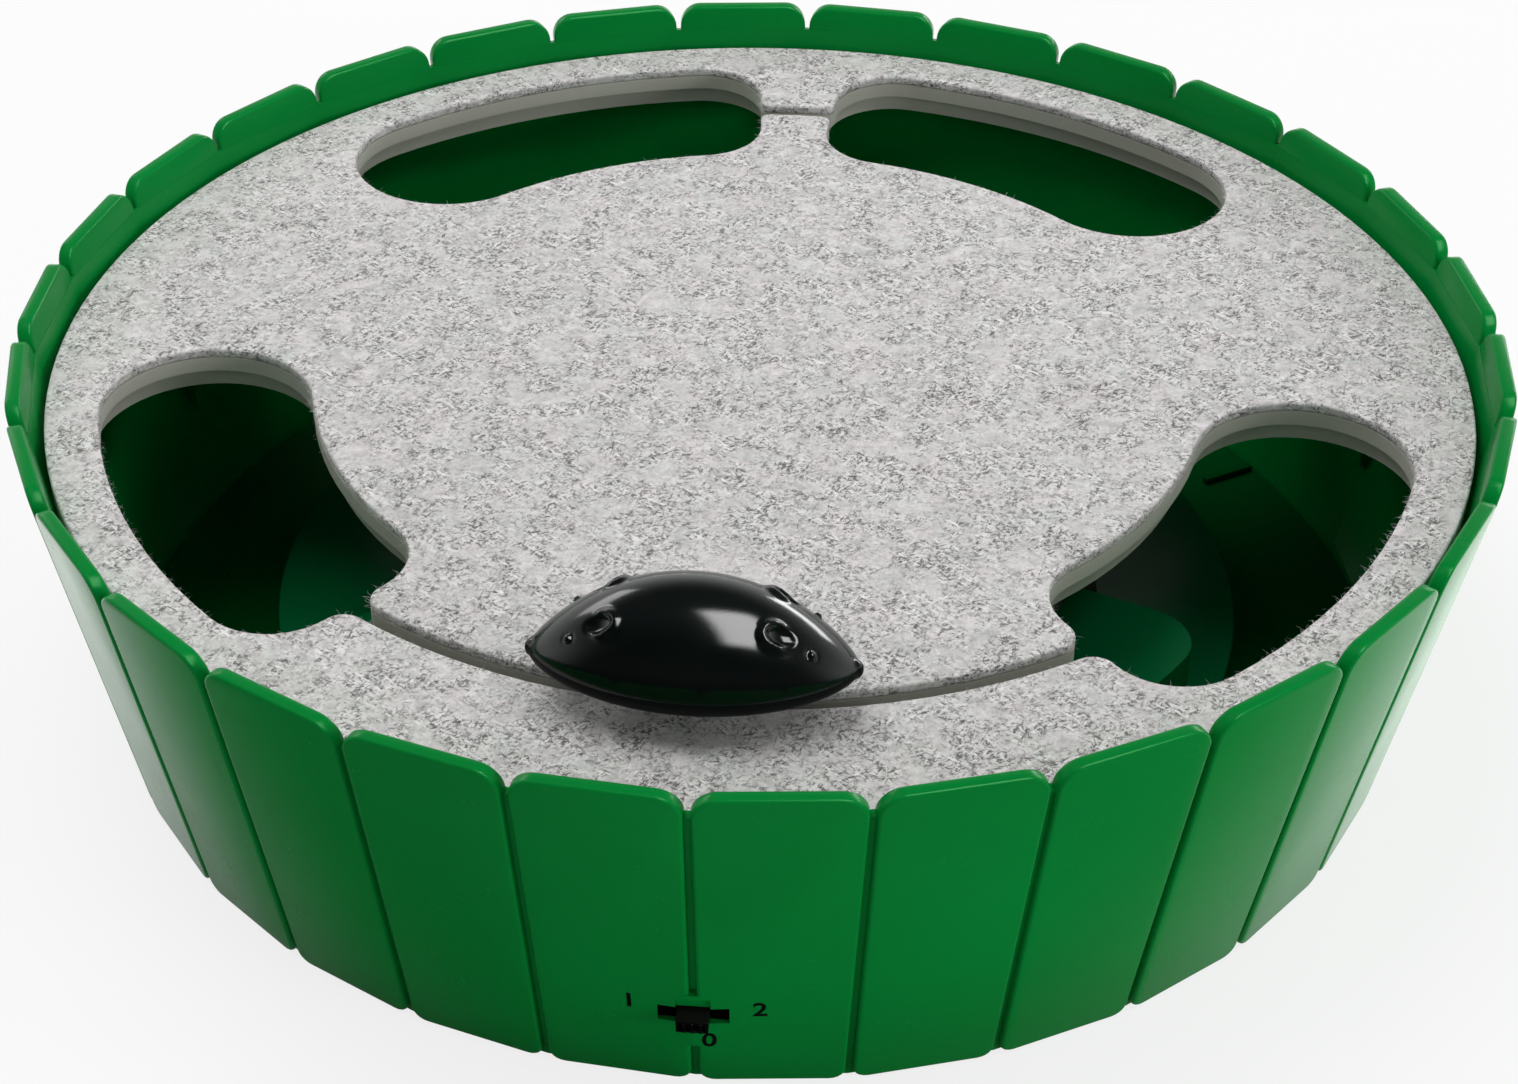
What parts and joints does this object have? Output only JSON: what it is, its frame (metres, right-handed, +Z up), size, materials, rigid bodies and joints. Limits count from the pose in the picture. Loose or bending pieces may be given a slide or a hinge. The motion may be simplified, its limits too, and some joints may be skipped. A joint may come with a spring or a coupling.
{
  "type": "interactive cat toy",
  "caption": "Round battery cat toy: green fenced tub, felt lid with paw openings and a ring slot, and a glossy mouse that a motor drives round under and over the lid.",
  "frame": {"origin": "On the table at the centre of the tub's foot, the centre of the bounding box's bottom", "axes": "+Z up through the lid, -Y towards the speed switch at the front, +X to the right of someone facing the switch"},
  "size_m": [0.248, 0.2486, 0.0786],
  "materials": {
    "fence_green": "satin moulded",
    "floor_green": "satin moulded",
    "lid_plastic": "fine texture",
    "felt": "heather felt",
    "mouse_gloss": "high gloss",
    "knob_black": "matte",
    "nylon_white": "moulded nylon",
    "case_grey": "moulded",
    "steel": "zinc plated",
    "motor_steel": "drawn can",
    "cap_black": "moulded",
    "bronze": "sintered",
    "cell_wrap": "printed wrap, bare",
    "contact_plate": "nickel plated",
    "board_green": "solder mask",
    "resistor_tan": "lacquer",
    "lead_red": "insulation",
    "lead_black": "insulation"
  },
  "bodies": {
    "base": {"base_plate": "floor_green", "base_screws": "steel", "battery_cell_back": "cell_wrap", "battery_cell_front": "cell_wrap", "battery_contacts": "contact_plate", "battery_lead_black": "lead_black", "battery_lead_red": "lead_red", "battery_springs": "contact_plate", "board_screws": "steel", "bridge_contact": "contact_plate", "cam_track": "floor_green", "case_screws": "steel", "cover_screws": "steel", "felt_mat": "felt", "fence_ring": "fence_green", "first_axle": "steel", "gear_case": "case_grey", "gear_cover": "case_grey", "lid_plate": "lid_plastic", "lid_screws": "steel", "motor_can": "motor_steel", "motor_end_cap": "cap_black", "motor_lead_black": "lead_black", "motor_lead_red": "lead_red", "motor_screws": "steel", "output_bushes": "bronze", "second_axle": "steel", "speed_resistor": "resistor_tan", "switch_board": "board_green", "switch_body": "knob_black", "track_screws": "steel"},
    "carousel": {"carousel_hub": "nylon_white", "output_gear": "nylon_white", "output_shaft": "steel", "hub_screw": "steel", "hinge_pin": "steel"},
    "arm": {"swing_arm": "nylon_white", "roller_axle": "steel", "mouse_post": "nylon_white", "mouse_pin": "steel", "mouse_lower": "mouse_gloss", "mouse_upper": "mouse_gloss", "mouse_screws": "steel", "post_screws": "steel"},
    "roller": {"track_roller": "nylon_white"},
    "second_wheel": {"second_gear": "nylon_white"},
    "first_wheel": {"first_gear": "nylon_white"},
    "rotor": {"motor_pinion": "nylon_white", "motor_shaft": "steel"},
    "knob": {"switch_knob": "knob_black"},
    "door": {"battery_door": "floor_green"}
  },
  "joints": [
    {"name": "carousel_spin", "type": "hinge", "parent": "base", "child": "carousel", "pos_m": [0, 0, 0.0283], "axis": [0, 0, 1], "range_deg": [-50, 66]},
    {"name": "arm_lift", "type": "hinge", "parent": "carousel", "child": "arm", "pos_m": [-0.00035, -0.016, 0.037], "axis": [-0.9998, 0.0218, 0], "range_deg": [0, 1.5]},
    {"name": "roller_spin", "type": "hinge", "parent": "arm", "child": "roller", "pos_m": [-0.00156, -0.07173, 0.0364], "axis": [0.0218, 0.9998, 0], "range_deg": [-1030, 1358]},
    {"name": "second_gear_spin", "type": "hinge", "parent": "base", "child": "second_wheel", "pos_m": [0.00755, -0.01308, 0.0225], "axis": [0, 0, 1], "range_deg": [-269, 205]},
    {"name": "first_gear_spin", "type": "hinge", "parent": "base", "child": "first_wheel", "pos_m": [-0.00402, -0.02278, 0.0203], "axis": [0, 0, 1], "range_deg": [-805, 1061]},
    {"name": "motor_spin", "type": "hinge", "parent": "base", "child": "rotor", "pos_m": [0.00353, -0.03586, 0.0153], "axis": [0, 0, 1], "range_deg": [-4229, 3205]},
    {"name": "switch_slide", "type": "slide", "parent": "base", "child": "knob", "axis": [1, 0, 0], "range_m": [-0.0026, 0.0026]},
    {"name": "battery_door_slide", "type": "slide", "parent": "base", "child": "door", "axis": [0, 1, 0], "range_m": [0, 0.012]}
  ],
  "couplings": [
    {"joint": "second_gear_spin", "follows": "carousel_spin", "ratio": -4},
    {"joint": "first_gear_spin", "follows": "carousel_spin", "ratio": 16},
    {"joint": "motor_spin", "follows": "carousel_spin", "ratio": -64},
    {"joint": "roller_spin", "follows": "carousel_spin", "ratio": 20.5}
  ]
}
